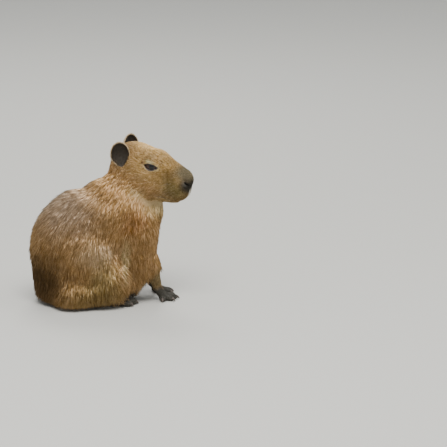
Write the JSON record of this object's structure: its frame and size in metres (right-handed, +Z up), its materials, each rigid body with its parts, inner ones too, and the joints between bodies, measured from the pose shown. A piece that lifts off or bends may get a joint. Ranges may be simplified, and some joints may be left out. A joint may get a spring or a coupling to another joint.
{
  "type": "capybara",
  "caption": "Young capybara sitting on its haunches, forefeet on the ground, head up and turned to its right: a life-size still model of the animal.",
  "frame": {"origin": "on the floor under the middle of the animal's bounding box", "axes": "+X the way the chest points, +Y the animal's left, +Z up"},
  "size_m": [0.3206, 0.2048, 0.3277],
  "materials": {
    "coat": "coarse hair",
    "face": "short hair",
    "bare_skin": "dull",
    "claw": "dull horn",
    "eye": "wet gloss"
  },
  "bodies": {
    "root": {"torso": "coat", "neck": "coat", "head": "face", "eye_left": "eye", "ear_left": "bare_skin", "haunch_left": "coat", "foreleg_left": "face", "forefoot_left": "bare_skin", "hindfoot_left": "bare_skin", "claw_fore_left_1": "claw", "claw_fore_left_2": "claw", "claw_fore_left_3": "claw", "claw_fore_left_4": "claw", "claw_hind_left_1": "claw", "claw_hind_left_2": "claw", "claw_hind_left_3": "claw", "eye_right": "eye", "ear_right": "bare_skin", "haunch_right": "coat", "foreleg_right": "face", "forefoot_right": "bare_skin", "hindfoot_right": "bare_skin", "claw_fore_right_1": "claw", "claw_fore_right_2": "claw", "claw_fore_right_3": "claw", "claw_fore_right_4": "claw", "claw_hind_right_1": "claw", "claw_hind_right_2": "claw", "claw_hind_right_3": "claw"}
  },
  "joints": []
}
